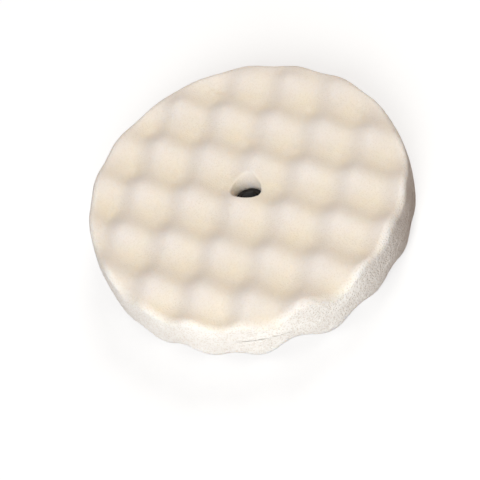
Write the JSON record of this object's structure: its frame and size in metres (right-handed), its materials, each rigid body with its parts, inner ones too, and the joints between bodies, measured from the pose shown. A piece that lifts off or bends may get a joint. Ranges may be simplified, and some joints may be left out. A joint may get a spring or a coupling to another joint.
{
  "type": "foam polishing pad",
  "caption": "Round double-sided polishing pad of egg-crate foam, bonded to a stiff core disc with a riveted hub and a hexagonal drive socket.",
  "frame": {"origin": "centre of the hub on the pad's mid-plane", "axes": "+Z along the pad's spin axis, out of the front face; +X along the front face's rows of bumps"},
  "size_m": [0.2032, 0.2032, 0.041],
  "materials": {
    "foam": "open-cell cream polyurethane foam, matt",
    "adhesive": "cured contact adhesive, satin",
    "support_disc": "stiff moulded sheet, fine matt grain",
    "hub": "moulded black nylon, satin",
    "rivet": "zinc plated steel"
  },
  "bodies": {
    "root": {"front_foam": "foam", "back_foam": "foam", "front_adhesive": "adhesive", "back_adhesive": "adhesive", "support_disc": "support_disc", "front_hub_half": "hub", "back_hub_half": "hub", "hub_rivet_1": "rivet", "hub_rivet_2": "rivet", "hub_rivet_3": "rivet", "hub_rivet_4": "rivet", "hub_rivet_5": "rivet", "hub_rivet_6": "rivet"}
  },
  "joints": []
}
